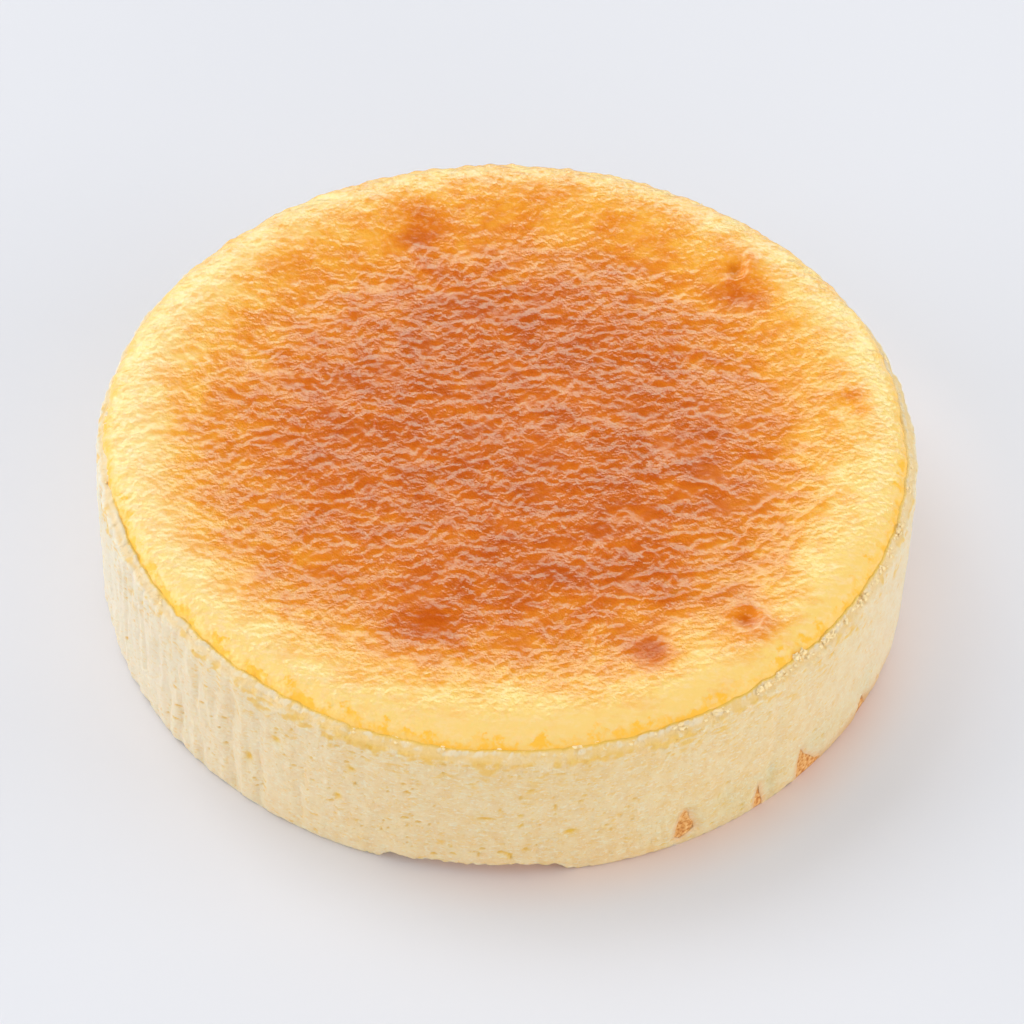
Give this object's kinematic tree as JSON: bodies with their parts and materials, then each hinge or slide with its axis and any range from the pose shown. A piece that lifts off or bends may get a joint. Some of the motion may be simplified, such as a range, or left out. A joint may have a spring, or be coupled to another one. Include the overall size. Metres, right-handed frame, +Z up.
{
  "type": "baked cheesecake",
  "caption": "Round whole baked cheesecake, uncut, with a browned wrinkled top, a pale side and a thin sponge base.",
  "frame": {"origin": "middle of the flat underside", "axes": "+Z up through the cake, -Y towards the side with the base showing on its right"},
  "size_m": [0.1501, 0.1503, 0.0358],
  "materials": {
    "baked_cheese": "matte, moist, fine-pored pale cream cheese batter",
    "browned_skin": "baked skin, satin, wrinkled, brown in the middle and yellow at the rim",
    "sponge": "matte golden-brown crumb"
  },
  "bodies": {
    "root": {"cheesecake": "baked_cheese", "sponge_base": "sponge"}
  },
  "joints": []
}
